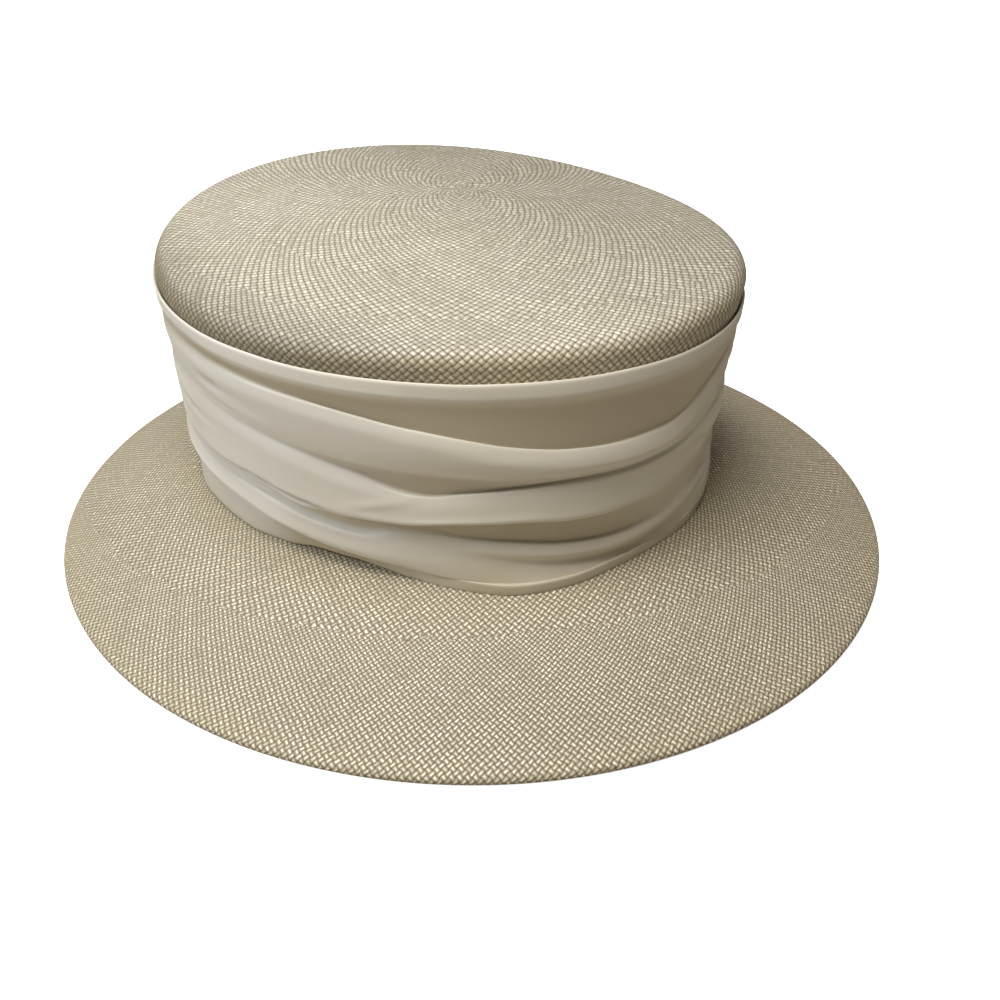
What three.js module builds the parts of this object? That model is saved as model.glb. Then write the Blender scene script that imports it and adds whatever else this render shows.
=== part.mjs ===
// Boater hat: a woven straw crown and brim with a tall draped satin band.
//
// Millimetres, +Z up. The brim's lowest edge lies on Z = 0 and the middle of the brim is the origin.
// The front of the hat faces -Y. A turn is an angle in degrees round the crown's axis, seen from above:
// 0 is the front, 90 is the wearer's left side (+X) and -90 the right side.

import * as THREE from "three";

// Straw and satin
const straw_thickness = 1.5;
const satin_thickness = 1.6;
const seat_gap = 0.3;

// Crown, measured over the outside of the straw
const headline_length = 199;
const headline_width = 168.5;
const headline_height = 25;
const tip_length = 213;
const tip_width = 188;
const side_height = 75.3;
const tip_edge_radius = 5.5;
const tip_dome = 4;
const tip_swell = 2.9;
const tip_swell_turn = 31;

// Brim
const brim_length = 301.7;
const brim_width = 295.8;
const brim_forward = 15.3;
const brim_sideways = 0.9;
const brim_droop = 1.2;
const collar_height = 9;

// Brim edge, turned under
const hem_thickness = 2.6;
const hem_width = 6;
const foot_width = 1.4;
const foot_setback = 1;

// Satin band
const band_height = 72.5;

// How finely the rings are faceted
const straw_turns = 72;
const band_turns = 96;

// The places round the band where the height of each fold is given. Fullness is the share of its
// stand-off that a fold keeps there: the satin is gathered flat at the two gathers.
const places = [
  { place: "right_gather", turn: -115, fullness: 0.45 },
  { place: "right_front", turn: -85, fullness: 0.75 },
  { place: "front_right", turn: -55, fullness: 1 },
  { place: "front_left", turn: -25, fullness: 1 },
  { place: "left_front", turn: 0, fullness: 0.95 },
  { place: "left_gather", turn: 26, fullness: 0.7 },
  { place: "left_back", turn: 90, fullness: 0.7 },
  { place: "back", turn: 170, fullness: 0.6 },
];

// The edges of the folds, as shares of the band's height. Columns, in the order of the places above:
// right gather, right front, front right, front left, left front, left gather, left back, back.
const edges = {
  band_foot: [0, 0, 0, 0, 0, 0, 0, 0],
  foot_top: [0.12, 0.1, 0.06, 0.05, 0.03, 0.18, 0.12, 0.11],
  lower_low: [0.14, 0.12, 0.08, 0.13, 0.12, 0.29, 0.15, 0.13],
  lower_top: [0.25, 0.26, 0.27, 0.2, 0.2, 0.42, 0.29, 0.27],
  middle_low: [0.29, 0.3, 0.3, 0.31, 0.3, 0.48, 0.35, 0.31],
  middle_top: [0.55, 0.54, 0.49, 0.48, 0.5, 0.67, 0.57, 0.52],
  cross_low: [0.57, 0.56, 0.51, 0.5, 0.52, 0.69, 0.59, 0.54],
  cross_top: [0.66, 0.78, 0.79, 0.68, 0.65, 0.81, 0.72, 0.69],
  top_low: [0.83, 0.84, 0.85, 0.83, 0.82, 0.84, 0.83, 0.82],
  band_top: [0.93, 0.96, 0.99, 1, 0.97, 0.93, 0.95, 0.97],
};

// The folds, lowest first: each is a soft roll of satin between two edges, and stands off the straw.
const folds = [
  { fold: "foot_fold", low: "band_foot", top: "foot_top", stand_off: 2.4 },
  { fold: "lower_fold", low: "lower_low", top: "lower_top", stand_off: 4 },
  { fold: "middle_fold", low: "middle_low", top: "middle_top", stand_off: 4.6 },
  { fold: "cross_fold", low: "cross_low", top: "cross_top", stand_off: 3.6 },
  { fold: "top_fold", low: "top_low", top: "band_top", stand_off: 3.4 },
];

// Where the rows of facets lie across one fold, from its low edge to its top edge.
const fold_steps = [0, 0.16, 0.5, 0.84, 1];
const roundness = 2.6;

// Colours, as sRGB
const straw_colour = "#cdbf9d";
const brim_colour = "#c6b894";
const satin_colour = "#e6e0cc";

const mix = (a, b, share) => a + (b - a) * share;
const radians = THREE.MathUtils.degToRad;

// The crown's axis, seen from the middle of the brim.
const crown_x = brim_sideways;
const crown_y = brim_forward;
const widest_height = headline_height + side_height;

// Distance from the middle of an oval to its edge. Its length runs front to back.
function oval(turn, length, width) {
  const across = (length / 2) * Math.sin(radians(turn));
  const along = (width / 2) * Math.cos(radians(turn));
  return (length * width) / 4 / Math.hypot(across, along);
}

// Distance from the crown's axis to the outside of the straw side, at a height.
function side_radius(turn, height) {
  const up = THREE.MathUtils.clamp((height - headline_height) / side_height, 0, 1);
  const round = oval(turn, mix(headline_length, tip_length, up), mix(headline_width, tip_width, up));
  return round + tip_swell * up * Math.cos(radians(3 * (turn - tip_swell_turn)));
}

// Distance from the crown's axis to the outer edge of the brim, which is an oval round the origin.
function rim_radius(turn) {
  const towards_x = Math.sin(radians(turn));
  const towards_y = -Math.cos(radians(turn));
  const wide = (brim_width / 2) ** 2;
  const long = (brim_length / 2) ** 2;
  const a = towards_x ** 2 / wide + towards_y ** 2 / long;
  const b = (crown_x * towards_x) / wide + (crown_y * towards_y) / long;
  const c = crown_x ** 2 / wide + crown_y ** 2 / long - 1;
  return (-b + Math.sqrt(b * b - a * c)) / a;
}

// Where the brim's top surface starts, inside the straw side, and its height on the way to the rim.
function brim_root(turn) {
  return side_radius(turn, headline_height) - straw_thickness;
}
function brim_top(share) {
  const straight = mix(headline_height, hem_thickness, share);
  return straight + brim_droop * 4 * share * (1 - share);
}
function brim_top_at(turn, radius) {
  const root = brim_root(turn);
  return brim_top((radius - root) / (rim_radius(turn) - root));
}

// A value from a table column for each place, carried smoothly round the whole turn.
function round_value(column, turn) {
  const count = places.length;
  let after = places.findIndex((place) => place.turn > turn);
  if (after < 0) after = count;
  const slot = (index) => ((index % count) + count) % count;
  const turn_of = (index) => places[slot(index)].turn + 360 * Math.floor(index / count);
  const before = after - 1;
  const gap = turn_of(after) - turn_of(before);
  const share = (turn - turn_of(before)) / gap;
  const slope = (index) =>
    (column[slot(index + 1)] - column[slot(index - 1)]) / (turn_of(index + 1) - turn_of(index - 1));
  const start = column[slot(before)];
  const end = column[slot(after)];
  const ease = share * share * (3 - 2 * share);
  const leave = share * (1 - share) ** 2 * slope(before) * gap;
  const arrive = share * share * (1 - share) * slope(after) * gap;
  return mix(start, end, ease) + leave - arrive;
}

// A closed ring or shell of revolution whose rows are placed one by one. Rows run up the outside.
function ring(rows, turns, closed_on_itself, place_row) {
  const outline = rows.map((row, index) => new THREE.Vector2(1, index));
  if (closed_on_itself) outline.push(outline[0].clone());
  const geometry = new THREE.LatheGeometry(outline, turns);
  const position = geometry.getAttribute("position");
  for (let index = 0; index < position.count; index += 1) {
    const row = rows[(index % outline.length) % rows.length];
    const step = Math.floor(index / outline.length) % turns;
    const turn = (360 * step) / turns - 180;
    const [radius, height] = place_row(row, turn);
    const x = crown_x + radius * Math.sin(radians(turn));
    const y = crown_y - radius * Math.cos(radians(turn));
    position.setXYZ(index, x, y, height);
  }
  geometry.deleteAttribute("normal");
  geometry.deleteAttribute("uv");
  geometry.computeVertexNormals();
  return geometry;
}

// Crown: each row has a height, how far inside the outer surface it lies, and its share of the tip's radius.
function crown_rows() {
  const edge_steps = [0.25, 0.5, 0.75, 1];
  const dome_steps = [0.7, 0.35, 0];
  const side_steps = [0, 0.33, 0.67, 1];
  const skin = (inset) => {
    const rows = [];
    const edge = tip_edge_radius - inset;
    const foot = headline_height + seat_gap;
    for (const step of side_steps) rows.push({ height: mix(foot, widest_height, step), inset, share: 1 });
    for (const step of edge_steps) {
      const lean = radians(90 * step);
      const drawn_in = inset + edge * (1 - Math.cos(lean));
      rows.push({ height: widest_height + edge * Math.sin(lean), inset: drawn_in, share: 1 });
    }
    const last = rows[rows.length - 1];
    for (const step of dome_steps) {
      rows.push({ height: last.height + tip_dome * (1 - step * step), inset: last.inset, share: step });
    }
    return rows;
  };
  return [...skin(straw_thickness).reverse(), ...skin(0)];
}
function place_crown_row(row, turn) {
  return [(side_radius(turn, row.height) - row.inset) * row.share, row.height];
}

// Brim: collar rows follow the inside of the crown, the others lie a share of the way to the rim,
// or a distance in from it, and hang below the top surface.
function brim_rows() {
  const collar_top = headline_height + collar_height;
  const collar_foot = headline_height + seat_gap;
  const outside = straw_thickness + seat_gap;
  const inside = outside + straw_thickness;
  const hem_start = hem_width + 0.2 * straw_thickness;
  return [
    { collar: inside, height: collar_top },
    { collar: inside, height: collar_foot },
    { share: 0, below: straw_thickness * 1.5, inward: outside },
    { share: 0.33, below: straw_thickness },
    { share: 0.67, below: straw_thickness },
    { from_rim: hem_start, below: straw_thickness },
    { from_rim: hem_width, below: hem_thickness },
    { from_rim: foot_setback + foot_width, height: 0 },
    { from_rim: foot_setback, height: 0 },
    { from_rim: 0.12 * hem_thickness, height: 0.2 * hem_thickness },
    { from_rim: 0, height: 0.5 * hem_thickness },
    { from_rim: 0.12 * hem_thickness, height: 0.8 * hem_thickness },
    { from_rim: 0.55 * hem_thickness, below: 0 },
    { share: 0.75, below: 0 },
    { share: 0.5, below: 0 },
    { share: 0.25, below: 0 },
    { share: 0, below: 0 },
    { collar: outside, height: collar_foot },
    { collar: outside, height: collar_top },
  ];
}
function place_brim_row(row, turn) {
  if (row.collar !== undefined) return [side_radius(turn, row.height) - row.collar, row.height];
  const root = brim_root(turn);
  const rim = rim_radius(turn);
  const share = row.from_rim === undefined ? row.share : (rim - row.from_rim - root) / (rim - root);
  const radius = mix(root, rim, share) - (row.inward ?? 0);
  const height = row.height ?? brim_top(share) - row.below;
  return [radius, height];
}

// Band: the outer rows follow the fold edges, the inner rows lie on the straw side.
function band_rows() {
  const outer = [];
  for (const fold of folds) {
    for (const step of fold_steps) outer.push({ fold, step });
  }
  const inner = [1, 0.67, 0.33, 0].map((share) => ({ share }));
  return [...inner, ...outer];
}
function band_foot_height(turn, radius) {
  return brim_top_at(turn, radius) + seat_gap;
}
function place_band_row(row, turn) {
  const on_straw = (height) => side_radius(turn, height) + seat_gap;
  if (row.fold === undefined) {
    const foot = band_foot_height(turn, on_straw(headline_height));
    const top = headline_height + band_height * round_value(edges.band_top, turn);
    const height = mix(foot, top, row.share);
    return [on_straw(height), height];
  }
  const low = round_value(edges[row.fold.low], turn);
  const top = round_value(edges[row.fold.top], turn);
  const full = row.fold.stand_off * round_value(places.map((place) => place.fullness), turn);
  const bulge = full * (1 - Math.abs(2 * row.step - 1) ** roundness);
  const level = headline_height + band_height * mix(low, top, row.step);
  const radius = on_straw(level) + satin_thickness + bulge;
  const foot = band_foot_height(turn, radius);
  const sunk = mix(foot - headline_height, 0, mix(low, top, row.step));
  return [radius, level + sunk];
}

function piece(name, geometry, color, roughness) {
  const mesh = new THREE.Mesh(geometry, new THREE.MeshStandardMaterial({ color, roughness, metalness: 0 }));
  mesh.name = name;
  return mesh;
}

const hat = new THREE.Group();
hat.add(
  piece("straw_crown", ring(crown_rows(), straw_turns, false, place_crown_row), straw_colour, 0.6),
  piece("straw_brim", ring(brim_rows(), straw_turns, true, place_brim_row), brim_colour, 0.6),
  piece("satin_band", ring(band_rows(), band_turns, true, place_band_row), satin_colour, 0.4),
);

export default hat;
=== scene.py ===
import math

import bmesh
import bpy
import numpy as np
from bpy.props import FloatProperty, FloatVectorProperty, IntProperty, PointerProperty
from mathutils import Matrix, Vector


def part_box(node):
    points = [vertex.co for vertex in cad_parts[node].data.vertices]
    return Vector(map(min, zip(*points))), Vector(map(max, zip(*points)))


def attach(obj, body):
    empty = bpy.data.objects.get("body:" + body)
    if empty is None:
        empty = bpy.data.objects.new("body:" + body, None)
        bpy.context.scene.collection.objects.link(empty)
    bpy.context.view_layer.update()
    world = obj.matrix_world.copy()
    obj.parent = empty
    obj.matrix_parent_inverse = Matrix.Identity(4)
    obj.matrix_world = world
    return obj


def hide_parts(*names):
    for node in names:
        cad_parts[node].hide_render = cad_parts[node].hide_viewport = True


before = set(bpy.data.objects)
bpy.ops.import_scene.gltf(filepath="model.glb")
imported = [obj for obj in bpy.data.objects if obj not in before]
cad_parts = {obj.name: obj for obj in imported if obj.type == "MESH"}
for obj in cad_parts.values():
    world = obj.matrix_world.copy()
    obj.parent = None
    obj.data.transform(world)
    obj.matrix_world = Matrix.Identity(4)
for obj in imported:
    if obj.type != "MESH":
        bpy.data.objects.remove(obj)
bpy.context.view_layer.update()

bl_info = {
    "name": "Boater Hat",
    "version": (1, 0, 0),
    "blender": (4, 5, 0),
    "location": "3D View > Sidebar > Boater",
    "description": "A woven straw boater with a draped satin band",
    "category": "Add Mesh",
}

MM = 0.001
brim_low, brim_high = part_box("straw_brim")

# Crown and brim, in millimetres, as the solids have them
straw_thickness = 1.5
seat_gap = 0.3
headline_length = 199
headline_width = 168.5
headline_height = 25
tip_length = 213
tip_width = 188
side_height = 75.3
tip_edge_radius = 5.5
tip_dome = 4
tip_swell = 2.9
tip_swell_turn = 31
brim_length = 301.7
brim_width = 295.8
crown_x = 0.9
crown_y = 15.3
brim_droop = 1.2
collar_height = 9
hem_thickness = 2.6
hem_width = 6
side_hollow = 1.4
widest_height = headline_height + side_height

# Satin: how near its middle comes to the crown and the brim, and the length of the cloth in metres
crown_clearance = 0.45
brim_clearance = 0.3
cloth_length = 0.64

# Places round the band, as turns in degrees: 0 is the front, -90 the wearer's right side.
band_turns = [
    -125, -110, -100, -90, -80, -70, -60, -50, -45, -40, -30,
    -20, -10, 0, 5, 10, 20, 35, 80, 130, 180, 210,
]

# Heights of the folds at those places, in millimetres above the table, highest first
fold_heights = {
    "top_edge": [
        98, 98.6, 98.5, 98.2, 98.1, 97.5, 97.1, 96.7, 96.5, 96.2, 96,
        95.7, 95.5, 95, 94.9, 94.8, 94.5, 94, 93, 93.5, 94, 96,
    ],
    "top_hollow": [
        90, 92, 92.3, 91.2, 90.2, 89.5, 89, 88.2, 87.6, 87, 86.5,
        86.2, 86, 86, 86.6, 87.5, 88.6, 88, 87, 86.5, 86, 87,
    ],
    "cross_top": [
        86, 88.6, 89, 88.4, 87.9, 86.8, 84.6, 81.6, 80.2, 78.4, 74.6,
        72.1, 71.1, 71, 73.2, 78.2, 84.5, 84, 79, 76, 77, 81,
    ],
    "cross_low": [
        74, 74, 73.5, 72.6, 71.2, 69.4, 68.2, 67.6, 67.2, 66, 64.6,
        64, 64, 65, 66, 67, 69, 72, 72, 68, 69, 72,
    ],
    "middle_top": [
        69, 70, 70, 68.6, 66.6, 64.4, 61.2, 57.6, 56.9, 58, 59.4,
        60.2, 60.4, 61.3, 62, 62.8, 64.5, 67, 66, 62, 63, 67,
    ],
    "middle_low": [
        46.5, 47.6, 48, 48.8, 47.6, 45.7, 46.6, 46.8, 48, 48.7, 49,
        47.2, 46.2, 46.5, 48, 50, 53, 54, 50, 47, 45, 45,
    ],
    "lower_top": [
        41, 43.3, 43.6, 43.6, 42.2, 40.2, 39.4, 42.2, 42.4, 41.4, 39.2,
        36.6, 35.4, 35.8, 37, 38.5, 41, 44, 42, 40, 39, 40,
    ],
    "lower_low": [
        39, 41, 41.2, 41.2, 39.6, 37.8, 36.4, 37.4, 37.2, 36, 33,
        31, 29.6, 30.4, 31.6, 33.1, 36, 38, 36, 34, 34, 37,
    ],
    "foot_belly": [
        37, 38.3, 38, 37, 35.2, 33.4, 32, 31, 30, 29, 27,
        26, 26, 27, 27.8, 29, 31, 32, 30, 29, 29, 33,
    ],
    "drape_edge": [
        37.2, 37.8, 37.3, 35.8, 33.6, 30.4, 28.4, 26.4, 25, 24.4, 23.4,
        23.6, 24.4, 25, 25.3, 26.2, 28, 31, 27, 26, 26, 32,
    ],
}

# How far each fold stands off the straw at those places, in millimetres
fold_depths = {
    "top_roll": [
        1.2, 1.7, 1.9, 2, 2.1, 2.2, 2.3, 2.3, 2.3, 2.3, 2.3,
        2.3, 2.3, 2.2, 2.1, 1.9, 1.6, 1.4, 2.2, 2.4, 2.2, 1.5,
    ],
    "top_hollow": [
        0.9, 1.3, 1.2, 0.9, 0.8, 0.8, 0.8, 0.8, 0.8, 0.8, 0.8,
        0.8, 0.8, 0.9, 1.1, 1.2, 1.2, 1, 1.2, 1.2, 1.2, 1,
    ],
    "cross_roll": [
        1.6, 2.4, 3, 3.4, 3.7, 4, 4.3, 4.6, 4.8, 5, 5.2,
        5.2, 4.9, 4, 3.3, 2.7, 1.9, 1.6, 3, 3, 2.8, 2,
    ],
    "middle_hollow": [
        1.4, 2.2, 2.9, 3, 2.5, 1.9, 1.4, 1, 0.9, 1.1, 2,
        2.7, 3, 2.9, 2.6, 2.3, 1.7, 1.4, 1.8, 1.8, 1.8, 1.6,
    ],
    "middle_roll": [
        3, 3.9, 4.3, 4.6, 4.8, 4.9, 5, 5, 5, 5, 4.9,
        4.6, 4.2, 3.7, 3.4, 3.2, 3, 3, 3.2, 3.4, 3.2, 3,
    ],
    "low_valley": [
        1.6, 2.2, 2.6, 2.6, 2.4, 1.8, 1.2, 1, 1, 1, 1,
        1.1, 1.4, 2.1, 2.2, 2.1, 1.8, 1.4, 1.6, 1.7, 1.7, 1.6,
    ],
    "lower_roll": [
        3, 3.8, 4.1, 4.3, 4.3, 4, 3.6, 2.9, 2.7, 3, 3.9,
        4.2, 4, 3.4, 3.2, 3.2, 3.2, 3.2, 2.6, 2.5, 2.6, 2.8,
    ],
    "lower_hollow": [
        3.2, 4.2, 4.5, 4.6, 4.5, 4.2, 3.8, 3.4, 3.4, 3.3, 2.7,
        1.9, 1.6, 2, 2.5, 2.9, 3.2, 3.1, 2.5, 2.4, 2.5, 3,
    ],
    "foot_roll": [
        4, 5.6, 6, 6, 5.7, 5.1, 4.6, 4.2, 4.5, 5.1, 5.9,
        5, 3.5, 2.8, 3, 3.4, 4, 4, 4, 4, 4, 4,
    ],
    "foot_edge": [
        1.8, 4, 4, 3.9, 2.2, 1, 1, 2, 3.5, 5.2, 7.6,
        6.4, 3.8, 2.8, 3, 3.6, 3.8, 3.6, 3.6, 3.4, 3.6, 4.5,
    ],
    "foot_lift": [
        0, 0, 0, 0, 0, 1.9, 2, 0.6, 0, 0, 0,
        0, 0, 0, 0, 0, 0, 0, 0, 0, 0, 0,
    ],
}

# How far each edge is folded over what lies behind it, from 0, a soft roll, to 1, a sharp lip
fold_laps = {
    "cross_top": [
        0, 0, 0, 0.2, 0.5, 0.8, 1, 1, 1, 1, 1,
        1, 0.9, 0.7, 0.55, 0.35, 0.2, 0.2, 0.4, 0.4, 0.4, 0.1,
    ],
    "middle_top": [
        0, 0, 0, 0, 0, 0, 0, 0.6, 0.9, 1, 0.9,
        0.6, 0.4, 0.3, 0.25, 0.2, 0.1, 0.1, 0.3, 0.3, 0.2, 0,
    ],
    "middle_low": [
        0.1, 0.3, 0.8, 1, 1, 0.9, 0.8, 0.8, 1, 1, 1,
        0.8, 0.4, 0, 0, 0, 0, 0, 0.2, 0.2, 0.2, 0.1,
    ],
    "lower_top": [
        0, 0, 0, 0, 0, 0, 0, 0.1, 0.3, 0.6, 0.9,
        0.9, 0.7, 0.3, 0.1, 0, 0, 0, 0, 0, 0, 0,
    ],
    "drape_edge": [
        0.9, 1, 1, 1, 1, 0.8, 0.2, 0, 0, 0, 0,
        0, 0, 0, 0, 0.1, 0.4, 0.5, 0.2, 0, 0, 0.6,
    ],
}


# Shapes of the hat, in millimetres. A turn is in degrees round the crown's axis.
def oval(turn, length, width):
    across = (length / 2) * np.sin(np.radians(turn))
    along = (width / 2) * np.cos(np.radians(turn))
    return (length * width) / 4 / np.hypot(across, along)


def side_radius(turn, height):
    """Distance from the crown's axis to the outside of the straw side."""
    up = np.clip((height - headline_height) / side_height, 0, 1) ** side_hollow
    length = headline_length + (tip_length - headline_length) * up
    width = headline_width + (tip_width - headline_width) * up
    swell = tip_swell * up * np.cos(np.radians(3 * (turn - tip_swell_turn)))
    return oval(turn, length, width) + swell


def rim_radius(turn):
    """Distance from the crown's axis to the brim's outer edge."""
    towards_x = np.sin(np.radians(turn))
    towards_y = -np.cos(np.radians(turn))
    wide = (brim_width / 2) ** 2
    long = (brim_length / 2) ** 2
    a = towards_x**2 / wide + towards_y**2 / long
    b = (crown_x * towards_x) / wide + (crown_y * towards_y) / long
    c = crown_x**2 / wide + crown_y**2 / long - 1
    return (-b + np.sqrt(b * b - a * c)) / a


def brim_root(turn):
    return side_radius(turn, headline_height) - straw_thickness


def brim_top(share):
    straight = headline_height + (hem_thickness - headline_height) * share
    return straight + brim_droop * 4 * share * (1 - share)


def brim_top_at(turn, radius):
    root = brim_root(turn)
    return brim_top((radius - root) / (rim_radius(turn) - root))


def round_value(column, turn):
    """A value given at each place round the band, carried smoothly round the whole turn."""
    turns = np.array(band_turns, float)
    values = np.array(column, float)
    turns = np.concatenate([turns[-2:] - 360, turns, turns[:3] + 360])
    values = np.concatenate([values[-2:], values, values[:3]])
    steps = np.diff(turns)
    slopes = np.diff(values) / steps
    left, right = slopes[:-1], slopes[1:]
    same = left * right > 0
    middle = np.where(same, 2 * left * right / np.where(same, left + right, 1), 0)
    middle = np.concatenate([[slopes[0]], middle, [slopes[-1]]])
    turn = (np.asarray(turn, float) - band_turns[0]) % 360 + band_turns[0]
    before = np.clip(np.searchsorted(turns, turn, side="right") - 1, 0, len(steps) - 1)
    gap = steps[before]
    share = (turn - turns[before]) / gap
    ease = share * share * (3 - 2 * share)
    leave = share * (1 - share) ** 2 * middle[before] * gap
    arrive = share * share * (1 - share) * middle[before + 1] * gap
    return values[before] + (values[before + 1] - values[before]) * ease + leave - arrive


def placed(turn, radius, height):
    """A point of the hat, in metres."""
    x = crown_x + radius * math.sin(math.radians(turn))
    y = crown_y - radius * math.cos(math.radians(turn))
    return Vector((x, y, height)) * MM


# Mesh making
def spun_shell(name, rows, steps, place_row, closed):
    """Spins a line of rows round the crown's axis, and lays each row where place_row says."""
    mesh = bmesh.new()
    row_of = mesh.verts.layers.int.new("row")
    line = []
    for index, row in enumerate(rows):
        out = 0.0 if row.get("pole") else 1.0
        vertex = mesh.verts.new((0.0, -out, index))
        vertex[row_of] = index
        line.append(vertex)
    edges = [mesh.edges.new(pair) for pair in zip(line, line[1:])]
    if closed:
        edges.append(mesh.edges.new((line[-1], line[0])))
    bmesh.ops.spin(
        mesh, geom=line + edges, cent=(0, 0, 0), axis=(0, 0, 1), dvec=(0, 0, 0),
        angle=math.tau, steps=steps, use_merge=True, use_normal_flip=False, use_duplicate=False,
    )
    bmesh.ops.remove_doubles(mesh, verts=mesh.verts, dist=1e-4)
    members = {}
    for vertex in mesh.verts:
        members.setdefault(vertex[row_of], []).append(vertex)
    for index, vertices in members.items():
        turns = np.degrees([math.atan2(vertex.co.x, -vertex.co.y) for vertex in vertices])
        radius, height = place_row(rows[index], turns)
        height = height + 0 * turns
        for vertex, turn, far, high in zip(vertices, turns, radius, height):
            vertex.co = placed(turn, far, high)
    bmesh.ops.recalc_face_normals(mesh, faces=mesh.faces)
    return finished(name, mesh)


def finished(name, mesh):
    """The object of a mesh, shaded smooth."""
    for face in mesh.faces:
        face.smooth = True
    data = bpy.data.meshes.new(name)
    mesh.to_mesh(data)
    mesh.free()
    made = bpy.data.objects.new(name, data)
    bpy.context.scene.collection.objects.link(made)
    return made


def crown_rows():
    """Rows of the crown, from the middle of its inside down to the foot, and up over the outside."""

    def skin(inset):
        edge = tip_edge_radius - inset
        foot = headline_height + seat_gap
        rows = []
        for step in np.linspace(0, 1, 9):
            rows.append({"height": foot + (widest_height - foot) * step, "inset": inset, "share": 1})
        for step in np.linspace(0, 1, 9)[1:]:
            lean = math.radians(90 * step)
            drawn_in = inset + edge * (1 - math.cos(lean))
            rows.append({"height": widest_height + edge * math.sin(lean), "inset": drawn_in, "share": 1})
        top, inset = rows[-1]["height"], rows[-1]["inset"]
        for step in (0.94, 0.86, 0.75, 0.62, 0.48, 0.34, 0.2, 0.08, 0):
            height = top + tip_dome * (1 - step * step)
            rows.append({"height": height, "inset": inset, "share": step, "pole": step == 0})
        return rows

    return skin(straw_thickness)[::-1] + skin(0)


def place_crown_row(row, turn):
    return (side_radius(turn, row["height"]) - row["inset"]) * row["share"], row["height"]


def brim_rows():
    collar_top = headline_height + collar_height
    collar_foot = headline_height + seat_gap
    outside = straw_thickness + seat_gap
    inside = outside + straw_thickness
    rows = [
        {"collar": (inside + outside) / 2, "height": collar_top + 0.3},
        {"collar": inside, "height": collar_top - 0.3},
        {"collar": inside, "height": headline_height + 4},
        {"collar": inside, "height": collar_foot},
        {"share": 0, "below": straw_thickness * 1.4, "inward": outside},
    ]
    rows += [{"share": step, "below": straw_thickness} for step in [0.05, 0.15, 0.3, 0.45, 0.6, 0.75]]
    rows += [
        {"from_rim": hem_width + 1.2, "below": straw_thickness},
        {"from_rim": hem_width + 0.3, "below": straw_thickness * 1.02},
        {"from_rim": hem_width, "below": straw_thickness * 1.3},
        {"from_rim": hem_width - 0.2, "below": hem_thickness},
        {"from_rim": 4.2, "below": hem_thickness + 0.12},
        {"from_rim": 2.6, "height": 0.12},
        {"from_rim": 1.9, "height": 0.0},
        {"from_rim": 1.1, "height": 0.0},
        {"from_rim": 0.55, "height": 0.14},
        {"from_rim": 0.16, "height": 0.55},
        {"from_rim": 0, "height": 1.1},
        {"from_rim": 0, "height": 1.5},
        {"from_rim": 0.16, "height": 2.05},
        {"from_rim": 0.55, "height": 2.5},
        {"from_rim": 1.2, "below": 0.14},
        {"from_rim": 2.4, "below": 0.02},
        {"from_rim": hem_width, "below": 0},
    ]
    rows += [{"share": step, "below": 0} for step in [0.8, 0.65, 0.5, 0.35, 0.2, 0.08, 0]]
    rows += [
        {"collar": outside, "height": collar_foot},
        {"collar": outside, "height": headline_height + 4},
        {"collar": outside, "height": collar_top - 0.3},
    ]
    return rows


def place_brim_row(row, turn):
    if "collar" in row:
        return side_radius(turn, row["height"]) - row["collar"], row["height"]
    root = brim_root(turn)
    rim = rim_radius(turn)
    share = row["share"] if "share" in row else (rim - row["from_rim"] - root) / (rim - root)
    radius = root + (rim - root) * share - row.get("inward", 0)
    height = row["height"] if "height" in row else brim_top(share) - row["below"]
    return radius, height


# The satin band
def mix(a, b, share):
    return a + (b - a) * share


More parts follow.
